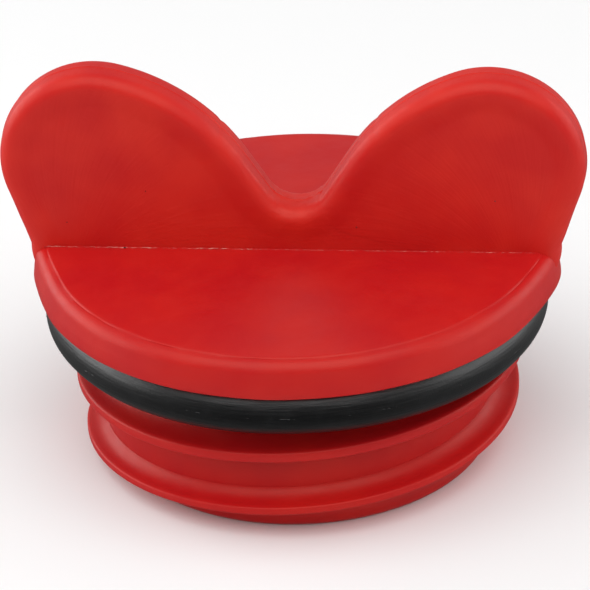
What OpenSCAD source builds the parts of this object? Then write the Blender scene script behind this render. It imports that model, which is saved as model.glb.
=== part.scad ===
// Wing-grip screw plug for the fill and drain port of a water-filled barrier.
// Three pieces: a hollow threaded plug, the wing grip joined across its top, and
// the rubber sealing ring that the plug turns in.
// Origin: centre of the foot of the neck. +Z up, the wings spread along X.

/* [Closure disc] */
// Largest diameter of the rim
rim_d = 64; // [58:0.5:80]
// Height of the flat top above the foot of the neck
top_z = 27.2; // [25:0.1:36]
// Thickness of the disc over the neck
disc_t = 3.9; // [2.5:0.1:5]
// Radius of the rounded top edge
top_edge_r = 2; // [0.8:0.1:3]
// Draft of the rim wall, in radius
rim_draft = 0.3; // [0:0.05:0.8]
// How far the rim wall hangs below the underside of the disc
lip_drop = 0.8; // [0.3:0.1:1.2]
// Width of the lip at its lower edge
lip_w = 1.2; // [0.8:0.1:1.6]

/* [Neck] */
// Step from the ring's seat out to the root of the thread, in radius
root_step = 0.4; // [0.2:0.1:0.8]
// Step from the root in to the plain end below the thread, in radius
end_step = 0.7; // [0.3:0.1:1]
// Height at which the plain end has widened to the root
end_h = 2.4; // [1.8:0.1:3]
// Wall of the hollow neck, measured under the seat
neck_wall = 2.8; // [2:0.1:4]
// Radius of the rounded foot of the neck
foot_edge_r = 1.2; // [0.4:0.1:1.6]
// Radius of the corner where the hollow meets the disc
ceiling_r = 1.5; // [0.5:0.1:3]

/* [Thread] */
// Advance for each turn
pitch = 8; // [6:0.25:9.5]
// Height of the crest above the foot, at the front
crest_z = 4.5; // [4.2:0.1:6]
// Depth of the thread at the front of its first turn
thread_depth = 2.7; // [1.5:0.1:3]
// How much deeper it is one turn further up
depth_growth = 0.8; // [0:0.1:1]
// Height of the crest strip
crest_h = 0.9; // [0.6:0.1:1.4]
// How far the upper flank climbs from crest to root
upper_rise = 1.1; // [0.6:0.1:1.6]
// How far the lower flank drops from crest to root
lower_drop = 1.2; // [0.6:0.1:1.6]
// Angle at which the thread begins, from the front
thread_start = -130; // [-140:5:-60]
// How far below the ring the thread runs out
thread_clear = 1; // [0.6:0.1:3]
// Angle over which each end of the thread fades
thread_fade = 28; // [15:1:60]

/* [Sealing ring] */
// Diameter of the rubber section
ring_section = 7; // [6:0.2:8.4]
// How far the ring stays inside the rim
ring_setback = 0.45; // [0.2:0.05:1.5]
// Radial play between the ring and its seat
ring_play = 0.05; // [0.02:0.01:0.1]
// Play between the ring and the underside of the disc
ring_top_play = 0.1; // [0.05:0.05:0.3]

/* [Wing grip] */
// Thickness of the grip
grip_t = 6.4; // [5:0.1:8]
// Height of the wings above the disc
grip_h = 23.2; // [20:0.2:28]
// Radius of the round end of each wing
wing_r = 12; // [10:0.25:14]
// How far each wing stands out past the rim
wing_overhang = 4.1; // [2:0.1:7]
// Radius of the long shoulder that leads down into the notch
shoulder_r = 26; // [24:0.5:34]
// Included angle of the notch between the wings
notch_angle = 65; // [60:1:76]
// Radius of the bottom of the notch
notch_r = 4; // [2.5:0.25:5]
// Height of the bottom of the notch above the disc
notch_floor = 5.4; // [4:0.1:8]
// Sideways offset of the trimmed notch from the axis
notch_shift = 0.5; // [0:0.1:1]
// Radius of the rounded edges of the grip
grip_edge_r = 2; // [1:0.1:2.4]
// How far the foot of the grip stands proud of the rim
lug_proud = 1.1; // [0.6:0.1:2]
// How far above the underside of the disc the foot ends
lug_lift = 0.3; // [0.2:0.1:1.2]
// How far the foot is let into the rim
lug_depth = 3; // [2:0.25:4]
// Play of the foot's ends in their slots
slot_play = 0.1; // [0.05:0.05:0.3]

/* [Hidden] */
fn_round = 128;

rim_r = rim_d / 2;
// The ring fills the space between the rim and its seat.
seat_r = rim_r - ring_setback - ring_section - ring_play;
root_r = seat_r + root_step;
end_r = root_r - end_step;
hollow_r = seat_r - neck_wall;
disc_z = top_z - disc_t;
lip_z = disc_z - lip_drop;
corner_x = rim_r - rim_draft - top_edge_r;
corner_z = top_z - top_edge_r;

ring_r = ring_section / 2;
ring_mid_r = seat_r + ring_play + ring_r;
ring_z = disc_z - ring_top_play - ring_r;
// The seat ends level with the lowest line of the ring.
seat_z = ring_z - ring_r;
thread_end = 360 * (seat_z - thread_clear - crest_z) / pitch;

wing_c = [rim_r + wing_overhang - wing_r, grip_h - wing_r];
foot_x = rim_r + lug_proud;
lug_drop = disc_t - lug_lift;
slot_x = rim_r - lug_depth;
slot_w = grip_t + 2 * slot_play;

// Unit vector at an angle measured from the first axis.
function unit(a) = [cos(a), sin(a)];

// Points on an arc about c, from angle a to angle b, in n steps.
function arc(c, r, a, b, n) = [for (i = [0:n]) c + r * unit(a + (b - a) * i / n)];

/* ---- outline of the wings, in X and in height above the disc ---- */

// Direction that the notch's flank on the +X wing faces.
flank_a = 180 - notch_angle / 2;
// Height at which the two flanks would meet if the notch were sharp.
apex_z = notch_floor + notch_r - notch_r / sin(notch_angle / 2);

// Angle that the shoulder arc turns through, so that it touches wing and flank.
function shoulder_turn(shift) =
    acos((shoulder_r + unit(flank_a) * (wing_c - [shift, apex_z])) / (shoulder_r - wing_r));

// Angle at which the round end hands over to the straight side above the foot.
function foot_tangent() =
    let (d = [foot_x, 0] - wing_c)
    atan2(d[1], d[0]) + acos(wing_r / norm(d));

// The end of the foot that is let into the rim and tapers back to it below.
lug = let (x = slot_x + slot_play, z = slot_play - lug_drop)
    [[x, 0], [x, z], [rim_r, z], [foot_x, -lug_drop / 2], [foot_x, 0]];

// The +X wing, from the inner side of its lug round to the floor of the notch.
function wing_half(shift) =
    let (turn = shoulder_turn(shift), from = flank_a - turn,
         c = wing_c - (shoulder_r - wing_r) * unit(from))
    concat(lug,
           arc(wing_c, wing_r, foot_tangent(), from, 26),
           arc(c, shoulder_r, from + turn / 8, flank_a, 7),
           arc([shift, notch_floor + notch_r], notch_r, flank_a + 180, 270, 5));

right_wing = wing_half(notch_shift);
left_wing = wing_half(-notch_shift);
outline = concat(right_wing,
                 [for (i = [len(left_wing) - 2:-1:0]) [-left_wing[i][0], left_wing[i][1]]]);
corners = len(outline);

// A point of the outline moved inwards by d. The faces that meet the plug stay flat.
function inset(i, d) =
    let (p = outline[i], from_end = min(i, corners - 1 - i),
         t = outline[(i + 1) % corners] - outline[(i + corners - 1) % corners])
    from_end < 2 ? p
    : from_end == 2 ? p - [sign(p[0]) * d, 0]
    : p + d * [-t[1], t[0]] / norm(t);

// Half of the section through an edge of the grip: [distance in, distance from mid-plane].
edge_steps = 4;
half_section = [for (k = [0:edge_steps])
    let (a = 90 * k / edge_steps)
    [grip_edge_r * (1 - cos(a)), grip_t / 2 - grip_edge_r * (1 - sin(a))]];
// From the front face, over the edge, to the back face.
section = concat([for (k = [edge_steps:-1:0]) [half_section[k][0], -half_section[k][1]]],
                 half_section);

/* ---- the neck and its helical thread, as columns of points round the axis ---- */

columns = 48;
turns = ceil((thread_end - thread_start) / 360);
// Heights at which the columns start above the foot and stop below the seat.
lowest_z = 0.35;
highest_z = seat_z - 0.1;
// Share of its height that the thread keeps where it fades out.
end_size = 0.2;
// Section of the thread, from its lower root up: [height from the middle, share of depth].
thread_profile = [[-crest_h / 2 - lower_drop, 0], [-crest_h / 2, 1], [crest_h / 2, 1],
                  [crest_h / 2 + upper_rise * 0.35, 0.4], [crest_h / 2 + upper_rise, 0]];

// Radius of the neck without its thread: rounded foot, plain end, root.
function base_r(z) =
    z < foot_edge_r
    ? end_r - foot_edge_r + sqrt(pow(foot_edge_r, 2) - pow(foot_edge_r - z, 2))
    : end_r + (root_r - end_r) * min(1, (z - foot_edge_r) / (end_h - foot_edge_r));

function depth(a) = thread_depth + depth_growth * a / 360;
function fade(a) =
    max(0, min(1, (a - thread_start) / thread_fade, (thread_end - a) / thread_fade));

// Where the thread crosses a column at angle a from the front: [radius, height].
function crossing(a) =
    let (size = end_size + (1 - end_size) * fade(a))
    [for (q = thread_profile)
        let (z = crest_z + pitch * a / 360 + size * q[0],
             h = max(lowest_z, min(highest_z, z)))
        [base_r(h) + depth(a) * fade(a) * q[1], h]];

// One column. The last one lies on the first, a turn later, so its crossings shift by one.
function column(i) =
    let (a = thread_start + 360 * i / columns,
         first = i < columns ? crossing(a)[0][1] : crossing(thread_start)[0][1],
         rows = [for (z = [lowest_z, foot_edge_r, end_h]) [base_r(min(z, first)), min(z, first)]])
    concat([[end_r - foot_edge_r, 0]], rows,
           i < columns ? [for (q = thread_profile) rows[2]] : crossing(thread_start),
           [for (k = [0:turns - 1]) for (p = crossing(a + 360 * k)) p],
           [[root_r, highest_z], [root_r, seat_z]]);

module threaded_neck() {
    rows = len(column(0));
    pts = [for (i = [0:columns])
        let (a = thread_start + 360 * i / columns)
        for (p = column(i)) [p[0] * sin(a), -p[0] * cos(a), p[1]]];
    wall = [for (i = [0:columns - 1]) for (k = [0:rows - 2])
        let (a = i * rows + k, b = a + rows)
        [a, a + 1, b + 1, b]];
    foot = [[for (i = [0:columns - 1]) i * rows]];
    top = [[for (i = [columns - 1:-1:0]) i * rows + rows - 1]];
    polyhedron(points = pts, faces = concat(foot, wall, top), convexity = 8);
}

/* ---- the three pieces ---- */

// Half section of the disc, its rounded rim and the lip that shades the ring.
module disc_section() {
    polygon([[0, disc_z], [rim_r - lip_w - lip_drop, disc_z], [rim_r - lip_w, lip_z],
             [rim_r, lip_z], [rim_r - rim_draft, corner_z], [0, corner_z]]);
    translate([0, disc_z]) square([corner_x, disc_t]);
    // only the outer quarter, so that a thin disc keeps its flat underside
    translate([corner_x, corner_z])
        intersection() {
            circle(top_edge_r, $fn = fn_round);
            square(top_edge_r);
        }
}

// Half section of the ring's seat, which runs down into the threaded neck.
module seat_section() {
    translate([hollow_r - 1, seat_z - 1]) square([seat_r - hollow_r + 1, disc_z - seat_z + 1.5]);
}

// Half section of the hollow under the disc, with its rounded corner.
module hollow_section() {
    translate([0, -1]) square([hollow_r, disc_z - ceiling_r + 1]);
    square([hollow_r - ceiling_r, disc_z]);
    translate([hollow_r - ceiling_r, disc_z - ceiling_r]) circle(ceiling_r, $fn = 64);
}

module plug_body() {
    color("red")
        difference() {
            union() {
                threaded_neck();
                rotate_extrude($fn = fn_round) {
                    disc_section();
                    seat_section();
                }
            }
            rotate_extrude($fn = fn_round) hollow_section();
            // the two slots in the rim that take the ends of the grip
            for (side = [0, 1])
                mirror([side, 0, 0])
                    translate([slot_x, -slot_w / 2, top_z - lug_drop])
                        cube([lug_depth + 1, slot_w, lug_drop + 1]);
        }
}

// A face of the grip as triangles: each wing is a fan from the inner corner of its foot.
function cap(first, flip) =
    let (last = corners - 1, mid = len(right_wing) - 1,
         fans = concat([for (i = [1:mid - 1]) [0, i, i + 1]],
                       [[0, mid, last]],
                       [for (i = [mid:last - 2]) [last, i, i + 1]]))
    [for (f = fans) flip ? [first + f[2], first + f[1], first + f[0]]
                         : [first + f[0], first + f[1], first + f[2]]];

module grip_skin() {
    rings = len(section);
    pts = [for (s = section) for (i = [0:corners - 1])
        let (p = inset(i, s[0])) [p[0], s[1], p[1]]];
    sides = [for (k = [0:rings - 2]) for (i = [0:corners - 1])
        let (j = (i + 1) % corners, a = k * corners, b = a + corners)
        [a + i, a + j, b + j, b + i]];
    polyhedron(points = pts, convexity = 6,
               faces = concat(cap(0, true), sides, cap((rings - 1) * corners, false)));
}

module wing_grip() {
    color("crimson") translate([0, 0, top_z]) grip_skin();
}

module sealing_ring() {
    color("black")
        rotate_extrude($fn = fn_round)
            translate([ring_mid_r, ring_z]) circle(ring_r, $fn = 64);
}

plug_body();
wing_grip();
sealing_ring();
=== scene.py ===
"""Looks of a wing-grip screw plug: a red moulded closure with a coarse thread and a black sealing ring.

Every length in the classes is in millimetres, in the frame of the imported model: +Z up along the thread's
axis, the wings spread along X and the foot of the neck at height 0. Meshes are made in metres.
"""

from __future__ import annotations

import logging
import math
from dataclasses import dataclass, field
from enum import Enum

import bmesh
import bpy
import numpy as np
from mathutils import Matrix, Vector

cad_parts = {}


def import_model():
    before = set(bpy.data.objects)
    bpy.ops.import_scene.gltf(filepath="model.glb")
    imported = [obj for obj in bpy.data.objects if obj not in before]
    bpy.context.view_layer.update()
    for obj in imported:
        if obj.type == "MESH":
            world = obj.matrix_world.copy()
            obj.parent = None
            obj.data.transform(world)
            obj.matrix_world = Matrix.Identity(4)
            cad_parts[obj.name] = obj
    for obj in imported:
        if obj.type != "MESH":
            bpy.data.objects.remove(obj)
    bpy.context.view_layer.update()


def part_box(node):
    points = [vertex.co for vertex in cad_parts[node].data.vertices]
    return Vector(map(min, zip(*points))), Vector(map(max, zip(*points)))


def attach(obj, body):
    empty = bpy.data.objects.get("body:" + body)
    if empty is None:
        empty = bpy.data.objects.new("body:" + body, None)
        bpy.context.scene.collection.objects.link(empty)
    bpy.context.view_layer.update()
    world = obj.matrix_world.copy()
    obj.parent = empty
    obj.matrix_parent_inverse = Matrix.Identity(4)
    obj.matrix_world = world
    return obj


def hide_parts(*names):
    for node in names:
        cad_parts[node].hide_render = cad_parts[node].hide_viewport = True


LOG = logging.getLogger("screw_plug")
MM = 0.001

Point = tuple[float, float]
Colour = tuple[float, float, float, float]


class Body(Enum):
    """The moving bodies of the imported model."""

    PLUG = "plug"
    SEAL = "seal"


class Slot(Enum):
    """Material slots of the record."""

    BODY = "red_body"
    GRIP = "red_grip"
    RUBBER = "ring_rubber"


class Side(Enum):
    """The two wings, by the sign of their X."""

    LEFT = -1
    RIGHT = 1


# ---------------------------------------------------------------------------------------------------------
# Node trees


class GeometryTree:
    """A group of geometry nodes with named inputs that is run once on a mesh and baked."""

    def __init__(self, name: str) -> None:
        """Starts an empty tree.

        Args:
            name: Name of the node group.
        """
        self.tree = bpy.data.node_groups.new(name, "GeometryNodeTree")
        self.values: dict[str, object] = {}
        self._socket("Geometry", "NodeSocketGeometry")
        self.tree.interface.new_socket("Geometry", in_out="OUTPUT", socket_type="NodeSocketGeometry")
        self.source = self.tree.nodes.new("NodeGroupInput")
        self.sink = self.tree.nodes.new("NodeGroupOutput")

    def _socket(self, name: str, kind: str) -> str:
        """Adds an input socket to the interface and returns its identifier."""
        return self.tree.interface.new_socket(name, in_out="INPUT", socket_type=kind).identifier

    @property
    def geometry(self) -> bpy.types.NodeSocket:
        """The geometry that the tree is run on."""
        return self.source.outputs["Geometry"]

    def size(self, name: str, value: object, kind: str = "NodeSocketFloat") -> bpy.types.NodeSocket:
        """Adds a named input with its value.

        Args:
            name: What the input is called.
            value: The value that it gets when the tree is baked.
            kind: Socket type of the input.

        Returns:
            The socket to link from.
        """
        self.values[self._socket(name, kind)] = value
        return self.source.outputs[name]

    def node(self, kind: str, inputs: dict[object, object], out: object = 0,
             **settings: object) -> bpy.types.NodeSocket:
        """Adds a node, links or sets its inputs and returns one of its outputs.

        Args:
            kind: Type name of the node.
            inputs: Values or sockets by input name or index.
            out: Name or index of the output that is returned.
            **settings: Properties of the node.

        Returns:
            The output socket.
        """
        made = self.tree.nodes.new(kind)
        for key, value in settings.items():
            setattr(made, key, value)
        for key, value in inputs.items():
            if isinstance(value, bpy.types.NodeSocket):
                self.tree.links.new(value, made.inputs[key])
            else:
                made.inputs[key].default_value = value
        return made.outputs[out]

    def math(self, operation: str, *values: object) -> bpy.types.NodeSocket:
        """Adds a Math node on the values and returns its result."""
        return self.node("ShaderNodeMath", dict(enumerate(values)), operation=operation)

    def bake(self, mesh: bpy.types.Mesh, result: bpy.types.NodeSocket, material: bpy.types.Material,
             name: str) -> bpy.types.Object:
        """Ends the tree, runs it on a mesh and keeps the result as a plain object.

        Args:
            mesh: The mesh that the tree starts from.
            result: The geometry that the tree has made.
            material: Material of the whole result.
            name: Name of the piece.

        Returns:
            The finished object, at the origin and with no modifier left.
        """
        dress = self.size("Material", material, "NodeSocketMaterial")
        whole = self.node("GeometryNodeRealizeInstances", {"Geometry": result})
        smooth = self.node("GeometryNodeSetShadeSmooth", {"Geometry": whole})
        done = self.node("GeometryNodeSetMaterial", {"Geometry": smooth, "Material": dress})
        self.tree.links.new(done, self.sink.inputs["Geometry"])

        carrier = bpy.data.objects.new(name + "_source", mesh)
        bpy.context.scene.collection.objects.link(carrier)
        modifier = carrier.modifiers.new("build", "NODES")
        modifier.node_group = self.tree
        for identifier, value in self.values.items():
            modifier[identifier] = value
        graph = bpy.context.evaluated_depsgraph_get()
        baked = bpy.data.meshes.new_from_object(carrier.evaluated_get(graph), depsgraph=graph)
        carrier.modifiers.remove(modifier)
        bpy.data.objects.remove(carrier)
        piece = bpy.data.objects.new(name, baked)
        bpy.context.scene.collection.objects.link(piece)
        return piece


class Paint:
    """Builds the nodes of one material around its Principled shader."""

    def __init__(self, name: str) -> None:
        """Starts a material with its shader and the piece's own coordinates.

        Args:
            name: Name of the material.
        """
        self.material = bpy.data.materials.new(name)
        self.material.use_nodes = True
        self.tree = self.material.node_tree
        self.shader = self.tree.nodes["Principled BSDF"]
        self.place = self.tree.nodes.new("ShaderNodeTexCoord").outputs["Object"]

    def node(self, kind: str, inputs: dict[object, object], out: object = 0,
             **settings: object) -> bpy.types.NodeSocket:
        """Adds a node, links or sets its inputs and returns one of its outputs."""
        made = self.tree.nodes.new(kind)
        for key, value in settings.items():
            setattr(made, key, value)
        for key, value in inputs.items():
            if isinstance(value, bpy.types.NodeSocket):
                self.tree.links.new(value, made.inputs[key])
            else:
                made.inputs[key].default_value = value
        return made.outputs[out]

    def math(self, operation: str, *values: object) -> bpy.types.NodeSocket:
        """Adds a Math node on the values and returns its result."""
        return self.node("ShaderNodeMath", dict(enumerate(values)), operation=operation)

    def noise(self, grain_mm: float, detail: float = 3.0, place: bpy.types.NodeSocket | None = None,
              stretch: tuple[float, float, float] = (1, 1, 1)) -> bpy.types.NodeSocket:
        """Noise over the surface.

        Args:
            grain_mm: Size of its grain.
            detail: Octaves of the noise.
            place: Coordinates, if not the piece's own.
            stretch: Scale along each coordinate.

        Returns:
            The noise value, from 0 to 1.
        """
        where = self.node("ShaderNodeMapping", {"Vector": place or self.place, "Scale": stretch})
        return self.node("ShaderNodeTexNoise",
                         {"Vector": where, "Scale": 1 / (grain_mm * MM), "Detail": detail}, out="Fac")

    def ramp(self, value: bpy.types.NodeSocket, low: float, high: float, to_low: float,
             to_high: float) -> bpy.types.NodeSocket:
        """Maps a value from one range to another, clamped at both ends."""
        return self.node("ShaderNodeMapRange", {"Value": value, "From Min": low, "From Max": high,
                                                "To Min": to_low, "To Max": to_high})

    def mix(self, share: bpy.types.NodeSocket, first: Colour, second: Colour) -> bpy.types.NodeSocket:
        """Mixes two colours by a share."""
        made = self.tree.nodes.new("ShaderNodeMix")
        made.data_type = "RGBA"
        self.tree.links.new(share, made.inputs["Factor"])
        colours = [s for s in made.inputs if s.type == "RGBA"]
        for socket, value in zip(colours, (first, second)):
            if isinstance(value, bpy.types.NodeSocket):
                self.tree.links.new(value, socket)
            else:
                socket.default_value = value
        return next(s for s in made.outputs if s.type == "RGBA")

    def bump(self, height: bpy.types.NodeSocket, depth_mm: float,
             under: bpy.types.NodeSocket | None = None) -> bpy.types.NodeSocket:
        """Adds relief on top of another relief and returns the normal."""
        inputs: dict[object, object] = {"Height": height, "Distance": depth_mm * MM, "Strength": 1.0}
        if under is not None:
            inputs["Normal"] = under
        return self.node("ShaderNodeBump", inputs)

    def set(self, **sockets: object) -> None:
        """Sets or links sockets of the shader, named with underscores."""
        for key, value in sockets.items():
            socket = self.shader.inputs[key.replace("_", " ").title().replace("Ior", "IOR")]
            if isinstance(value, bpy.types.NodeSocket):
                self.tree.links.new(value, socket)
            else:
                socket.default_value = value


# ---------------------------------------------------------------------------------------------------------
# Finishes


@dataclass(frozen=True)
class MouldedRed:
    """Red moulded polyethylene: satin, slightly translucent, with flow streaks and finger smudges."""

    name: str = "moulded_red"
    # The default base and warm are the body's red, painted a little darker than the wings' copy of the same
    # plastic, as painted shade on the disc and neck.
    base: Colour = (0.49, 0.006, 0.009, 1)
    warm: Colour = (0.54, 0.010, 0.009, 1)
    roughness: float = 0.42
    gloss: float = 0.34
    sheen: tuple[float, float, float] = (1.0, 0.8, 0.66)
    glow: float = 0.12
    glow_mm: float = 2.2
    grain_depth: float = 0.012
    streak_depth: float = 0.0
    fan_x: float = 27.0
    fan_z: float = 24.0

    def build(self) -> bpy.types.Material:
        """Makes the material."""
        paint = Paint(self.name)
        cloud = paint.noise(9.0, 2.0)
        blush = paint.ramp(cloud, 0.35, 0.65, 0.0, 1.0)
        grain = paint.noise(0.35, 4.0)
        wave = paint.noise(4.0, 2.0)
        rough = paint.ramp(paint.noise(2.2, 5.0), 0.3, 0.75, self.roughness - 0.05, self.roughness + 0.07)
        relief = paint.bump(wave, 0.05)
        relief = paint.bump(grain, self.grain_depth, relief)
        if self.streak_depth > 0:
            streaks = self.fan(paint)
            relief = paint.bump(streaks, self.streak_depth, relief)
            rough = paint.math("ADD", rough, paint.ramp(streaks, 0.45, 0.8, 0.0, 0.1))
        paint.set(base_color=paint.mix(blush, self.base, self.warm), roughness=rough, normal=relief,
                  ior=1.51, subsurface_weight=self.glow, subsurface_radius=(1.0, 0.16, 0.1),
                  subsurface_scale=self.glow_mm * MM, specular_ior_level=self.gloss,
                  specular_tint=(*self.sheen, 1.0))
        return paint.material

    def fan(self, paint: Paint) -> bpy.types.NodeSocket:
        """Fine streaks that fan out over each wing from the foot of its outer end.

        Args:
            paint: The material's nodes.

        Returns:
            The height of the streaks, from 0 to 1.
        """
        split = paint.tree.nodes.new("ShaderNodeSeparateXYZ")
        paint.tree.links.new(paint.place, split.inputs[0])
        across = paint.math("SUBTRACT", self.fan_x * MM, paint.math("ABSOLUTE", split.outputs["X"]))
        up = paint.math("SUBTRACT", split.outputs["Z"], self.fan_z * MM)
        turn = paint.math("ARCTAN2", across, up)
        reach = paint.node("ShaderNodeVectorMath", {0: paint.node(
            "ShaderNodeCombineXYZ", {"X": across, "Y": up})}, out="Value", operation="LENGTH")
        bent = paint.math("ADD", turn, paint.math("MULTIPLY", reach, -14.0))
        polar = paint.node("ShaderNodeCombineXYZ", {"X": paint.math("MULTIPLY", bent, 0.02), "Y": reach,
                                                    "Z": split.outputs["Y"]})
        return paint.noise(0.42, 3.0, polar, (1.0, 0.06, 0.3))


@dataclass(frozen=True)
class PaleFlash:
    """Thin white-bruised plastic, as at trimmed edges and mould lines."""

    name: str = "pale_flash"
    pale: Colour = (0.74, 0.3, 0.24, 1)
    deep: Colour = (0.55, 0.03, 0.03, 1)

    def build(self) -> bpy.types.Material:
        """Makes the material."""
        paint = Paint(self.name)
        patches = paint.ramp(paint.noise(0.8, 4.0), 0.4, 0.62, 0.0, 1.0)
        paint.set(base_color=paint.mix(patches, self.deep, self.pale), roughness=0.5, ior=1.5,
                  normal=paint.bump(paint.noise(0.15), 0.03))
        return paint.material


@dataclass(frozen=True)
class BlackRubber:
    """Black rubber with a soft sheen and faint streaks that run round the ring."""

    name: str = "black_rubber"
    base: Colour = (0.003, 0.0031, 0.0035, 1)
    dusty: Colour = (0.008, 0.0083, 0.009, 1)
    gloss: float = 0.9

    def build(self) -> bpy.types.Material:
        """Makes the material."""
        paint = Paint(self.name)
        split = paint.tree.nodes.new("ShaderNodeSeparateXYZ")
        paint.tree.links.new(paint.place, split.inputs[0])
        out = paint.node("ShaderNodeVectorMath", {0: paint.node(
            "ShaderNodeCombineXYZ", {"X": split.outputs["X"], "Y": split.outputs["Y"]})},
            out="Value", operation="LENGTH")
        turn = paint.math("ARCTAN2", split.outputs["Y"], split.outputs["X"])
        round_it = paint.node("ShaderNodeCombineXYZ", {"X": out, "Y": split.outputs["Z"],
                                                       "Z": paint.math("MULTIPLY", turn, 0.002)})
        streaks = paint.noise(0.3, 3.0, round_it)
        dust = paint.ramp(paint.noise(1.6, 5.0), 0.5, 0.8, 0.0, 1.0)
        relief = paint.bump(streaks, 0.04)
        relief = paint.bump(paint.noise(0.25, 4.0), 0.02, relief)
        paint.set(base_color=paint.mix(dust, self.base, self.dusty), normal=relief, ior=1.45,
                  roughness=paint.ramp(streaks, 0.3, 0.7, 0.3, 0.46), specular_ior_level=self.gloss)
        return paint.material


@dataclass(frozen=True)
class DarkFleck:
    """Dark dirt caught in the plastic."""

    name: str = "dark_fleck"
    base: Colour = (0.02, 0.004, 0.004, 1)

    def build(self) -> bpy.types.Material:
        """Makes the material."""
        paint = Paint(self.name)
        tone = paint.ramp(paint.noise(0.2), 0.3, 0.7, 0.0, 1.0)
        paint.set(base_color=paint.mix(tone, self.base, (0.06, 0.006, 0.006, 1)), roughness=0.6)
        return paint.material


@dataclass(frozen=True)
class PaleFloor:
    """Plain pale studio floor."""

    name: str = "pale_floor"
    base: Colour = (0.93, 0.93, 0.93, 1)

    def build(self) -> bpy.types.Material:
        """Makes the material."""
        paint = Paint(self.name)
        paint.set(base_color=self.base, roughness=0.9)
        return paint.material


# ---------------------------------------------------------------------------------------------------------
# Mesh helpers


def new_piece(name: str, verts: list[tuple[float, float, float]], faces: list[tuple[int, ...]],
              material: bpy.types.Material, sharp_deg: float = 38.0) -> bpy.types.Object:
    """Makes a smooth closed piece with outward faces from points in millimetres.

    Args:
        name: Name of the piece.
        verts: Points in millimetres.
        faces: Faces by index of point.
        material: Its finish.
        sharp_deg: Edges that turn more than this stay sharp.

    Returns:
        The linked object.
    """
    mesh = bpy.data.meshes.new(name)
    mesh.from_pydata([tuple(c * MM for c in v) for v in verts], [], faces)
    work = bmesh.new()
    work.from_mesh(mesh)
    bmesh.ops.remove_doubles(work, verts=work.verts, dist=1e-7)
    bmesh.ops.recalc_face_normals(work, faces=work.faces)
    work.to_mesh(mesh)
    work.free()
    mesh.shade_smooth()
    mesh.set_sharp_from_angle(angle=math.radians(sharp_deg))
    mesh.materials.append(material)
    piece = bpy.data.objects.new(name, mesh)
    bpy.context.scene.collection.objects.link(piece)
    return piece


def path_mesh(name: str, points: list[tuple[float, float, float]], closed: bool = False) -> bpy.types.Mesh:
    """Makes a mesh of edges only, along points in millimetres."""
    edges = [(i, i + 1) for i in range(len(points) - 1)]
    if closed:
        edges.append((len(points) - 1, 0))
    mesh = bpy.data.meshes.new(name)
    mesh.from_pydata([tuple(c * MM for c in p) for p in points], edges, [])
    return mesh


def arc(centre: Point, radius: float, start: float, end: float, steps: int) -> list[Point]:
    """Points on an arc, from a start to an end angle in degrees."""
    turns = np.radians(np.linspace(start, end, steps + 1))
    return [(centre[0] + radius * math.cos(t), centre[1] + radius * math.sin(t)) for t in turns]


def smooth_step(value: float, low: float, high: float) -> float:
    """Rises smoothly from 0 at low to 1 at high."""
    share = min(1.0, max(0.0, (value - low) / (high - low)))
    return share * share * (3 - 2 * share)


def wobble(turn: float, seed: int, waves: int = 7) -> float:
    """A smooth irregular value between about -1 and 1 that repeats after a full turn."""
    draw = np.random.default_rng(seed)
    total = 0.0
    for k in range(1, waves + 1):
        total += math.sin(k * 3 * turn + draw.uniform(0, math.tau)) / math.sqrt(waves)
    return total


def seat(piece: bpy.types.Object, body: Body) -> bpy.types.Object:
    """Puts a finished piece on its body."""
    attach(piece, body.value)
    LOG.info("%s: %d faces, rides on %s", piece.name, len(piece.data.polygons), body.value)
    return piece


# ---------------------------------------------------------------------------------------------------------
# Sub-assemblies


@dataclass
class FlashLine:
    """An uneven bead of flash that follows a path, as a mould line or a joint leaves it."""

    name: str
    path: list[tuple[float, float, float]]
    radius: float
    jitter: float
    material: bpy.types.Material
    closed: bool = False
    step: float = 0.25
    seed: int = 1
    thin: float = 0.15

    def build(self) -> bpy.types.Object:
        """Sweeps a small round profile along the path, with uneven height and width.

        Returns:
            The bead.
        """
        tree = GeometryTree(self.name)
        thickness = tree.size("Thickness", self.radius * MM)
        jitter = tree.size("Jitter", self.jitter * MM)
        step = tree.size("Step", self.step * MM)
        thin = tree.size("Thinnest Share", self.thin)
        seed = tree.size("Seed", self.seed, "NodeSocketInt")
        curve = tree.node("GeometryNodeMeshToCurve", {"Mesh": tree.geometry})
        curve = tree.node("GeometryNodeResampleCurve", {"Curve": curve, "Length": step}, mode="LENGTH")
        down = tree.math("MULTIPLY", jitter, -1.0)
        low = tree.node("ShaderNodeCombineXYZ", {"X": down, "Y": down, "Z": down})
        high = tree.node("ShaderNodeCombineXYZ", {"X": jitter, "Y": jitter, "Z": jitter})
        shake = tree.node("FunctionNodeRandomValue", {0: low, 1: high, "Seed": seed},
                          data_type="FLOAT_VECTOR")
        curve = tree.node("GeometryNodeSetPosition", {"Geometry": curve, "Offset": shake})
        width = tree.node("FunctionNodeRandomValue", {2: thin, 3: 1.0, "Seed": seed}, out=1,
                          data_type="FLOAT")
        slow = tree.node("ShaderNodeTexNoise", {"Scale": 320.0, "Detail": 2.0}, out="Fac")
        slow = tree.node("ShaderNodeMapRange", {"Value": slow, "From Min": 0.38, "From Max": 0.62,
                                                "To Min": thin, "To Max": 1.0})
        profile = tree.node("GeometryNodeCurvePrimitiveCircle", {"Resolution": 6, "Radius": thickness})
        bead = tree.node("GeometryNodeCurveToMesh", {"Curve": curve, "Profile Curve": profile,
                                                     "Scale": tree.math("MULTIPLY", width, slow),
                                                     "Fill Caps": not self.closed})
        source = path_mesh(self.name + "_path", self.path, self.closed)
        return tree.bake(source, bead, self.material, self.name)


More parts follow.
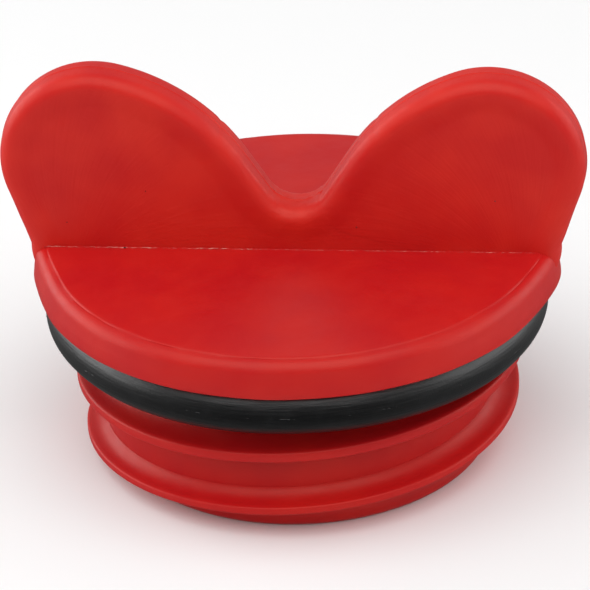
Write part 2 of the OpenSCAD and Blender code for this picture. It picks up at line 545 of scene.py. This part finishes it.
@dataclass
class Specks:
    """Small flat flecks at given places."""

    name: str
    places: list[tuple[float, float, float]]
    radius: float
    material: bpy.types.Material
    seed: int = 3

    def build(self) -> bpy.types.Object:
        """Sets a small uneven ball on each place.

        Returns:
            The flecks as one mesh.
        """
        tree = GeometryTree(self.name)
        radius = tree.size("Radius", self.radius * MM)
        seed = tree.size("Seed", self.seed, "NodeSocketInt")
        ball = tree.node("GeometryNodeMeshIcoSphere", {"Radius": radius, "Subdivisions": 2}, out="Mesh")
        low = tree.node("ShaderNodeCombineXYZ", {"X": 0.5, "Y": 0.5, "Z": 0.5})
        high = tree.node("ShaderNodeCombineXYZ", {"X": 1.3, "Y": 1.0, "Z": 1.2})
        grow = tree.node("FunctionNodeRandomValue", {0: low, 1: high, "Seed": seed}, data_type="FLOAT_VECTOR")
        points = tree.node("GeometryNodeMeshToPoints", {"Mesh": tree.geometry})
        made = tree.node("GeometryNodeInstanceOnPoints", {"Points": points, "Instance": ball, "Scale": grow})
        mesh = bpy.data.meshes.new(self.name + "_places")
        mesh.from_pydata([tuple(c * MM for c in p) for p in self.places], [], [])
        return tree.bake(mesh, made, self.material, self.name)


@dataclass
class PlugBody:
    """The moulded closure: a disc with a soft rim, a hollow neck and its coarse thread."""

    rim_r: float
    top_z: float
    disc_t: float = 3.9
    crown_r: float = 30.0
    lip_w: float = 1.2
    lip_drop: float = 0.8
    foot_swell: float = 1.02
    swell_w: float = 6.5
    seat_r: float = 24.5
    seat_z: float = 16.2
    root_r: float = 24.9
    end_r: float = 24.2
    end_h: float = 2.4
    foot_edge_r: float = 1.2
    hollow_r: float = 21.7
    ceiling_r: float = 1.5
    columns: int = 480
    pitch: float = 8.0
    crest_z: float = 4.5
    thread_depth: float = 2.7
    depth_growth: float = 0.8
    crest_h: float = 0.9
    thread_start: float = -122.0
    thread_end: float = 478.0
    thread_fade: float = 34.0
    thread_sink: float = 0.35
    flank_rise: float = 1.3
    thread_points: int = 220

    @property
    def disc_z(self) -> float:
        """Height of the underside of the disc."""
        return self.top_z - self.disc_t

    def rim_profile(self) -> list[Point]:
        """Radius and height of the rim, from the edge of the flat top to the lip's inner foot."""
        top, r = self.top_z, self.rim_r
        lip_z = self.disc_z - self.lip_drop
        crown = arc((self.crown_r - 0.25, top - 0.5), 0.5, 90, 38, 5)
        shoulder = [(crown[-1][0] + 1.45 * math.sin(math.radians(a)),
                     crown[-1][1] - 1.75 * (1 - math.cos(math.radians(a)))) for a in (15, 35, 55, 75, 90)]
        wall = [(r - 0.22, top - 2.6), (r - 0.12, top - 3.2), (r - 0.04, top - 3.8), (r, lip_z + 0.4)]
        foot = arc((r - 0.4, lip_z + 0.4), 0.4, -20, -90, 4)
        return crown + shoulder + wall + foot + [(r - self.lip_w, lip_z), (r - self.lip_w - 0.8, self.disc_z)]

    def neck_profile(self) -> list[Point]:
        """Radius and height of the neck, from under the disc round the foot and up the hollow."""
        step, slope_top = self.root_r - self.end_r, self.end_h + 1
        slope = [(self.end_r + step * smooth_step(z, self.foot_edge_r, slope_top), z)
                 for z in np.linspace(slope_top, self.foot_edge_r, 6)]
        foot = arc((self.end_r - self.foot_edge_r, self.foot_edge_r), self.foot_edge_r, 0, -90, 8)
        inner = self.hollow_r
        mouth = arc((inner + 0.3, 0.3), 0.3, 270, 180, 3)
        ceiling = arc((inner - self.ceiling_r, self.disc_z - self.ceiling_r), self.ceiling_r, 0, 90, 6)
        return ([(self.seat_r, self.disc_z), (self.seat_r, self.seat_z + 0.4), (self.root_r, self.seat_z),
                 (self.root_r, 9.0)] + slope + foot[1:] + mouth + [(inner, 11.0)] + ceiling)

    def shell(self, material: bpy.types.Material) -> bpy.types.Object:
        """Turns the disc, rim, neck and hollow as one closed skin.

        Args:
            material: Its finish.

        Returns:
            The piece.
        """
        flat = [(r, self.top_z) for r in (6.0, 12.0, 18.0, 24.0, 28.0, 29.3)]
        rim = self.rim_profile()
        profile = flat + rim + self.neck_profile() + [(10.0, self.disc_z)]
        ridge = range(len(flat), len(flat) + 5)
        verts = [(0.0, 0.0, self.top_z)]
        for i in range(self.columns):
            turn = math.tau * i / self.columns
            swell = self.foot_swell * math.exp(-(self.rim_r * math.sin(turn) / self.swell_w) ** 2)
            for k, (r, z) in enumerate(profile):
                if k in ridge:
                    r += 0.05 * wobble(turn, 11)
                    z += 0.02 * wobble(turn, 12, 16)
                elif len(flat) + 5 < k < len(flat) + len(rim) - 4:
                    r += 0.03 * wobble(turn + k, 13)
                r = min(r, self.rim_r)
                if len(flat) <= k < len(flat) + len(rim) - 1:
                    r += swell
                z = min(z, self.top_z)
                verts.append((r * math.cos(turn), r * math.sin(turn), z))
        verts.append((0.0, 0.0, self.disc_z))
        rows, last = len(profile), len(verts) - 1
        faces: list[tuple[int, ...]] = []
        for i in range(self.columns):
            a, b = 1 + i * rows, 1 + (i + 1) % self.columns * rows
            faces.append((0, a, b))
            faces += [(a + k, a + k + 1, b + k + 1, b + k) for k in range(rows - 1)]
            faces.append((a + rows - 1, last, b + rows - 1))
        piece = new_piece("plug_shell", verts, faces, material)
        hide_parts("plug_body")
        return piece

    def thread_profile(self) -> list[Point]:
        """Section of the thread: how far it stands out and its height from the middle of the crest."""
        deep, half = self.thread_depth, self.crest_h / 2
        lower = [(-self.thread_sink, -half - 1.12), (0.0, -half - 1.05), (0.3 * deep, -half - 0.75),
                 (0.75 * deep, -half - 0.32), (0.96 * deep, -half - 0.08)]
        crest = [(deep - 0.02, -half + 0.02), (deep, -half + 0.12), (deep, half - 0.14),
                 (deep - 0.06, half - 0.03), (deep - 0.2, half + 0.03)]
        flank = [(deep * share, half + 0.08 + self.flank_rise * (1 - share) ** 3.2)
                 for share in np.linspace(0.85, 0.0, 9)]
        return lower + crest + flank + [(-self.thread_sink, half + 1.5)]

    def thread(self, material: bpy.types.Material) -> bpy.types.Object:
        """Sweeps the thread's section along its helix with geometry nodes.

        Args:
            material: Its finish.

        Returns:
            The piece.
        """
        tree = GeometryTree("coarse_thread")
        root = tree.size("Root Radius", self.root_r * MM)
        turns = tree.size("Turns", (self.thread_end - self.thread_start) / 360)
        rise = tree.size("Rise", self.pitch * (self.thread_end - self.thread_start) / 360 * MM)
        fade = tree.size("Fade Share", self.thread_fade / (self.thread_end - self.thread_start))
        start_deep = 1 + self.depth_growth / self.thread_depth * self.thread_start / 360
        end_deep = 1 + self.depth_growth / self.thread_depth * self.thread_end / 360
        first = tree.size("First Depth", start_deep)
        final = tree.size("Last Depth", end_deep)
        points = tree.size("Points Per Turn", self.thread_points, "NodeSocketInt")
        helix = tree.node("GeometryNodeCurveSpiral", {
            "Resolution": points, "Rotations": turns, "Start Radius": root, "End Radius": root,
            "Height": rise, "Reverse": True})
        helix = tree.node("GeometryNodeTransform", {
            "Geometry": helix, "Rotation": (0, 0, math.radians(self.thread_start - 90)),
            "Translation": (0, 0, (self.crest_z + self.pitch * self.thread_start / 360) * MM)})
        helix = tree.node("GeometryNodeSetCurveNormal", {"Curve": helix}, mode="Z_UP")
        along = tree.node("GeometryNodeSplineParameter", {}, out="Factor")
        ends = tree.math("MINIMUM", along, tree.math("SUBTRACT", 1.0, along))
        grown = tree.node("ShaderNodeMapRange", {
            "Value": ends, "From Min": 0.0, "From Max": fade, "To Min": 0.06, "To Max": 1.0},
            interpolation_type="SMOOTHSTEP")
        deep = tree.node("ShaderNodeMapRange", {"Value": along, "To Min": first, "To Max": final})
        profile = tree.node("GeometryNodeMeshToCurve", {"Mesh": tree.geometry})
        rib = tree.node("GeometryNodeCurveToMesh", {
            "Curve": helix, "Profile Curve": profile, "Scale": tree.math("MULTIPLY", grown, deep),
            "Fill Caps": True})
        outline = [(r, -z, 0.0) for r, z in self.thread_profile()]
        section = path_mesh("thread_section", outline, closed=True)
        piece = tree.bake(section, rib, material, "plug_thread")
        recalc(piece)
        piece.data.set_sharp_from_angle(angle=math.radians(42))
        return piece


def recalc(piece: bpy.types.Object) -> None:
    """Merges doubles and points every face of a closed piece outwards."""
    work = bmesh.new()
    work.from_mesh(piece.data)
    bmesh.ops.remove_doubles(work, verts=work.verts, dist=1e-7)
    bmesh.ops.recalc_face_normals(work, faces=work.faces)
    work.to_mesh(piece.data)
    work.free()
    piece.data.shade_smooth()


@dataclass
class WingGrip:
    """The two-winged finger grip across the disc, with a foot that wraps over the rim at each end."""

    rim_r: float
    top_z: float
    height: float
    thickness: float = 6.4
    wing_r: float = 12.0
    overhang: float = 4.1
    shoulder_r: float = 26.0
    notch_angle: float = 65.0
    notch_r: float = 4.0
    notch_floor: float = 5.4
    notch_shift: float = 0.5
    foot_proud: float = 1.1
    foot_drop: float = 3.6
    skin: float = 0.1
    edge_r: float = 1.75
    dish_depth: float = 0.3
    dish_from: float = 1.9
    dish_to: float = 4.6
    lower_wing: float = 0.983
    nick_depth: float = 0.12
    notch_grit: float = 0.035
    nicks: dict[Side, float] = field(default_factory=lambda: {Side.LEFT: 8.6, Side.RIGHT: 10.2})

    def half(self, shift: float) -> list[Point]:
        """Outline of the +X wing, from the hidden root of its foot to the floor of the notch.

        Args:
            shift: Sideways offset of the notch from the axis.

        Returns:
            Points in X and in height above the disc.
        """
        foot = self.rim_r + self.foot_proud
        centre = (self.rim_r + self.overhang - self.wing_r, self.height - self.wing_r)
        face = math.radians(180 - self.notch_angle / 2)
        apex = self.notch_floor + self.notch_r - self.notch_r / math.sin(math.radians(self.notch_angle / 2))
        reach = math.cos(face) * (centre[0] - shift) + math.sin(face) * (centre[1] - apex)
        turn = math.acos((self.shoulder_r + reach) / (self.shoulder_r - self.wing_r))
        start = face - turn
        shoulder = (centre[0] - (self.shoulder_r - self.wing_r) * math.cos(start),
                    centre[1] - (self.shoulder_r - self.wing_r) * math.sin(start))
        d = (foot - centre[0], -centre[1])
        tangent = math.degrees(math.atan2(d[1], d[0]) + math.acos(self.wing_r / math.hypot(*d)))
        drop, proud = self.foot_drop, self.foot_proud
        lug = [(foot - proud * (1 - math.sqrt(max(0.0, 1 - ((s - 0.22) / 0.78) ** 2))) if s > 0.22 else foot,
                -drop * s) for s in np.linspace(1.0, 0.0, 13)]
        side = arc(centre, self.wing_r, tangent, math.degrees(start), 64)
        rise = [(foot + (side[0][0] - foot) * s, side[0][1] * s) for s in (0.1, 0.25, 0.5, 0.75)]
        wing = arc(shoulder, self.shoulder_r, math.degrees(start) + 1, math.degrees(face), 40)
        flank_end = (shift + self.notch_r * math.cos(face + math.pi),
                     self.notch_floor + self.notch_r + self.notch_r * math.sin(face + math.pi))
        (from_x, from_z), (to_x, to_z) = wing[-1], flank_end
        flank = [(from_x + (to_x - from_x) * s, from_z + (to_z - from_z) * s)
                 for s in np.linspace(0.1, 0.9, 9)]
        notch = arc((shift, self.notch_floor + self.notch_r), self.notch_r, math.degrees(face) + 180, 270, 14)
        hidden = [(self.rim_r - 3.0, -0.8), (self.rim_r - 3.0, -drop)]
        return hidden + lug + rise + side + wing + flank + notch

    def outline(self) -> list[Point]:
        """The whole outline, the left wing's foot last, with the right wing a little lower."""
        right = [(x, z * self.lower_wing if z > self.notch_floor + 1 else z)
                 for x, z in self.half(self.notch_shift)]
        left = [(-x, z) for x, z in self.half(-self.notch_shift)]
        return right + left[-2::-1]

    def section(self) -> list[Point]:
        """How far the skin lies in from the outline, and its distance from the mid-plane, front half only."""
        half, r = self.thickness / 2, self.edge_r
        seam = [(0.0, 0.0), (0.03, 0.1), (self.skin, 0.2)]
        side = [(self.skin + 0.05 * s, 0.2 + (half - r - 0.2) * s) for s in (0.5, 1.0)]
        lean = self.skin + 0.05
        edge = [(lean + (r - lean) * (1 - math.cos(turn)), half - r + r * math.sin(turn))
                for turn in map(math.radians, (12, 24, 36, 48, 60, 70, 80, 90))]
        steps = np.linspace(self.dish_from, self.dish_to, 9)
        dish = [(d, half - self.dish_depth * smooth_step(d, self.dish_from, self.dish_to)) for d in steps]
        return seam + side + edge + dish

    def nick(self, x: float, z: float) -> float:
        """Depth of the small nick in the shoulder at a point of the outline."""
        side = Side.RIGHT if x > 0 else Side.LEFT
        return self.nick_depth * math.exp(-((abs(x) - self.nicks[side]) / 0.25) ** 2) if z > 8 else 0.0

    def build(self, material: bpy.types.Material) -> bpy.types.Object:
        """Wraps the section round the outline and closes both faces.

        Args:
            material: Its finish.

        Returns:
            The piece.
        """
        line = np.array(self.outline())
        count = len(line)
        ahead, behind = np.roll(line, -1, axis=0), np.roll(line, 1, axis=0)
        tangent = ahead - behind
        inward = np.stack([-tangent[:, 1], tangent[:, 0]], axis=1)
        inward /= np.linalg.norm(inward, axis=1)[:, None]
        for i, (x, z) in enumerate(line):
            if z <= 0.05:
                inward[i] = (-math.copysign(1.0, x), 0.0)
            if abs(x) < self.rim_r - 2.9 and z < 0:
                inward[i] = (0.0, 0.0)
        section = self.section()
        rings = [(d, -y) for d, y in reversed(section)] + section[1:]
        draw = np.random.default_rng(5)
        verts: list[tuple[float, float, float]] = []
        for d, y in rings:
            for (x, z), (nx, nz) in zip(line, inward):
                rough = smooth_step(7.6 - z, 0.0, 1.2) * smooth_step(z, 1.0, 2.0)
                rough *= smooth_step(2.0, d * 0.7, 2.4)
                deep = d + self.nick(x, z) * smooth_step(2.2, d, 2.6)
                shake = rough * self.notch_grit * draw.standard_normal(3)
                verts.append((x + nx * deep + shake[0], y + 0.3 * shake[1],
                              min(self.height, z + nz * deep + shake[2]) + self.top_z))
        faces: list[tuple[int, ...]] = []
        for k in range(len(rings) - 1):
            for i in range(count):
                j, a, b = (i + 1) % count, k * count, (k + 1) * count
                faces.append((a + i, a + j, b + j, b + i))
        faces.append(tuple(range(count)))
        faces.append(tuple(reversed(range((len(rings) - 1) * count, len(rings) * count))))
        piece = new_piece("grip_wings", verts, faces, material, 30.0)
        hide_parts("wing_grip")
        return piece


@dataclass
class SealingRing:
    """The rubber ring under the disc, with its mould flash round the outside."""

    mid_r: float
    centre_z: float
    section_r: float
    columns: int = 360
    rows: int = 48

    def build(self, material: bpy.types.Material) -> bpy.types.Object:
        """Turns the ring, slightly uneven as soft rubber sits.

        Args:
            material: Its finish.

        Returns:
            The piece.
        """
        verts = []
        for i in range(self.columns):
            turn = math.tau * i / self.columns
            r = self.section_r - 0.05
            sag = 0.03 * wobble(turn, 21, 4)
            for k in range(self.rows):
                a = math.tau * k / self.rows
                verts.append(((self.mid_r + r * math.cos(a)) * math.cos(turn),
                              (self.mid_r + r * math.cos(a)) * math.sin(turn),
                              self.centre_z + sag + r * math.sin(a)))
        faces = []
        for i in range(self.columns):
            a, b = i * self.rows, (i + 1) % self.columns * self.rows
            steps = [(k, (k + 1) % self.rows) for k in range(self.rows)]
            faces += [(a + k, a + j, b + j, b + k) for k, j in steps]
        piece = new_piece("seal_ring", verts, faces, material, 60.0)
        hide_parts("sealing_ring")
        return piece

    def flash(self, material: bpy.types.Material) -> bpy.types.Object:
        """The jagged line of flash round the outside of the ring."""
        radius = self.mid_r + self.section_r - 0.1
        path = [(radius * math.cos(t), radius * math.sin(t), self.centre_z)
                for t in np.linspace(0, math.tau, 361)[:-1]]
        return FlashLine("seal_flash", path, 0.09, 0.045, material, closed=True, step=0.3, seed=8).build()


# ---------------------------------------------------------------------------------------------------------
# Studio


@dataclass
class Viewpoint:
    """The camera: where it stands, how it is rolled and how far below the disc's middle it aims."""

    target: tuple[float, float, float]
    distance: float = 384.0
    elevation: float = 27.4
    azimuth: float = 6.49
    roll: float = 2.264
    aim_below: float = 1.0585
    aim_right: float = 0.0024
    lens: float = 188.4

    def build(self) -> bpy.types.Object:
        """Sets up the scene's camera."""
        e, a = math.radians(self.elevation), math.radians(self.azimuth)
        target = Vector(self.target)
        away = Vector((math.cos(e) * math.sin(a), -math.cos(e) * math.cos(a), math.sin(e)))
        place = target + self.distance * away
        forward = (target - place).normalized()
        right = forward.cross(Vector((0, 0, 1))).normalized()
        up = right.cross(forward)
        roll = math.radians(self.roll)
        right, up = right * math.cos(roll) - up * math.sin(roll), up * math.cos(roll) + right * math.sin(roll)
        forward = (forward - up * math.tan(math.radians(self.aim_below))
                   + right * math.tan(math.radians(self.aim_right))).normalized()
        up = (up - forward * up.dot(forward)).normalized()
        right = forward.cross(up)
        data = bpy.data.cameras.new("camera")
        data.lens = self.lens
        data.sensor_width = 36.0
        data.clip_start = 0.01
        camera = bpy.data.objects.new("camera", data)
        turn = Matrix((right, up, -forward)).transposed().to_4x4()
        camera.matrix_world = Matrix.Translation(place * MM) @ turn
        bpy.context.scene.collection.objects.link(camera)
        bpy.context.scene.camera = camera
        return camera


@dataclass(frozen=True)
class Softbox:
    """One soft studio light."""

    name: str
    place: tuple[float, float, float]
    aim: tuple[float, float, float]
    width: float
    height: float
    power: float

    def build(self) -> None:
        """Hangs the light and points it."""
        data = bpy.data.lights.new(self.name, "AREA")
        data.shape = "RECTANGLE"
        data.size, data.size_y = self.width, self.height
        data.energy = self.power
        lamp = bpy.data.objects.new(self.name, data)
        place, aim = Vector(self.place), Vector(self.aim)
        lamp.location = place
        lamp.rotation_euler = (aim - place).to_track_quat("-Z", "Y").to_euler()
        bpy.context.scene.collection.objects.link(lamp)


@dataclass
class Studio:
    """Plain pale floor, pale surroundings and soft light."""

    floor: bpy.types.Material
    side_room: float = 0.42
    front_room: float = 0.1
    low_room: float = 0.16
    lights: tuple[Softbox, ...] = (
        Softbox("top_front", (0.0, -0.36, 0.68), (0.0, 0.0, 0.03), 1.1, 0.9, 5.6),
        Softbox("left_wall", (-0.6, 0.12, 0.2), (0.0, 0.0, 0.02), 0.8, 0.4, 2.4),
        Softbox("right_wall", (0.6, 0.12, 0.2), (0.0, 0.0, 0.02), 0.8, 0.4, 1.5),
    )

    def build(self) -> None:
        """Lays the floor and hangs the lights."""
        mesh = bpy.data.meshes.new("floor")
        mesh.from_pydata([(-3, -3, 0), (3, -3, 0), (3, 3, 0), (-3, 3, 0)], [], [(0, 1, 2, 3)])
        mesh.materials.append(self.floor)
        floor = bpy.data.objects.new("floor", mesh)
        bpy.context.scene.collection.objects.link(floor)
        floor.visible_glossy = False
        self.room()
        for light in self.lights:
            light.build()
        bpy.context.scene.view_settings.view_transform = "Standard"

    def room(self) -> None:
        """Surrounds the object with a pale room that is darker towards the front and below."""
        world = bpy.data.worlds.new("room")
        world.use_nodes = True
        tree = world.node_tree

        def ramp(value: bpy.types.NodeSocket, low: float, high: float, dim: float) -> bpy.types.NodeSocket:
            """Brightness that rises from dim to 1 as a direction goes from low to high."""
            made = tree.nodes.new("ShaderNodeMapRange")
            tree.links.new(value, made.inputs["Value"])
            for key, number in (("From Min", low), ("From Max", high), ("To Min", dim), ("To Max", 1.0)):
                made.inputs[key].default_value = number
            return made.outputs[0]

        split = tree.nodes.new("ShaderNodeSeparateXYZ")
        tree.links.new(tree.nodes.new("ShaderNodeTexCoord").outputs["Generated"], split.inputs[0])
        share = tree.nodes.new("ShaderNodeMath")
        share.operation = "MULTIPLY"
        front_dim, low_dim = self.front_room / self.side_room, self.low_room / self.side_room
        tree.links.new(ramp(split.outputs["Y"], -0.85, -0.2, front_dim), share.inputs[0])
        tree.links.new(ramp(split.outputs["Z"], -0.5, 0.1, low_dim), share.inputs[1])
        bright = tree.nodes.new("ShaderNodeMath")
        bright.operation = "MULTIPLY"
        tree.links.new(share.outputs[0], bright.inputs[0])
        bright.inputs[1].default_value = self.side_room
        sky = tree.nodes["Background"]
        sky.inputs["Color"].default_value = (1, 1, 1, 1)
        tree.links.new(bright.outputs[0], sky.inputs["Strength"])
        bpy.context.scene.world = world


def main() -> None:
    """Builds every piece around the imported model."""
    logging.basicConfig(level=logging.INFO, format="%(message)s")
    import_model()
    _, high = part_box("plug_body")
    _, grip_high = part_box("wing_grip")
    ring_low, ring_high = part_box("sealing_ring")
    section_r = (ring_high.z - ring_low.z) / 2 / MM

    Viewpoint((0.0, 0.0, high.z / MM)).build()
    Studio(PaleFloor().build()).build()

    # The body's red: the same plastic as the wings, painted a little darker as painted shade on the disc and
    # neck.
    red = MouldedRed().build()
    # The wings' copy of the same red plastic: its base and warm are painted lighter than the body's red,
    # standing in for the extra light the wing faces catch. Its streaks are real flow marks.
    wing_red_painted_lighter = MouldedRed(name="moulded_red_wing_painted_lighter", base=(0.57, 0.01, 0.01, 1), warm=(0.65, 0.02, 0.013, 1),
                          streak_depth=0.035).build()
    flash = PaleFlash().build()
    rubber = BlackRubber().build()
    fleck = DarkFleck().build()

    body = PlugBody(high.x / MM, high.z / MM)
    seat(body.shell(red), Body.PLUG)
    seat(body.thread(red), Body.PLUG)

    grip = WingGrip(high.x / MM, high.z / MM, (grip_high.z - high.z) / MM)
    seat(grip.build(wing_red_painted_lighter), Body.PLUG)
    front = -grip.thickness / 2
    crease = [(x, front - 0.02, body.top_z + 0.03) for x in np.linspace(-31.0, -5.0, 60)]
    seat(FlashLine("crease_flash", crease, 0.11, 0.05, flash, seed=2).build(), Body.PLUG)
    faint = [(x, front - 0.02, body.top_z + 0.01) for x in np.linspace(-5.0, 30.0, 60)]
    seat(FlashLine("crease_flash_faint", faint, 0.05, 0.03, flash, seed=4).build(), Body.PLUG)
    dirt = [(-20.9, front - 0.1, body.top_z + 0.05)]
    seat(Specks("dirt_specks", dirt, 0.16, fleck).build(), Body.PLUG)
    face = front + grip.dish_depth
    flecks = [(x, face, body.top_z + up) for x, up in ((-28.0, 3.3), (-17.9, 7.7), (25.0, 6.9), (8.0, 3.1))]
    seat(Specks("wing_specks", flecks, 0.09, fleck).build(), Body.PLUG)

    ring = SealingRing((ring_high.x / MM) - section_r, (ring_low.z + ring_high.z) / 2 / MM, section_r)
    seat(ring.build(rubber), Body.SEAL)
    seat(ring.flash(rubber), Body.SEAL)


if __name__ == "__main__":
    main()
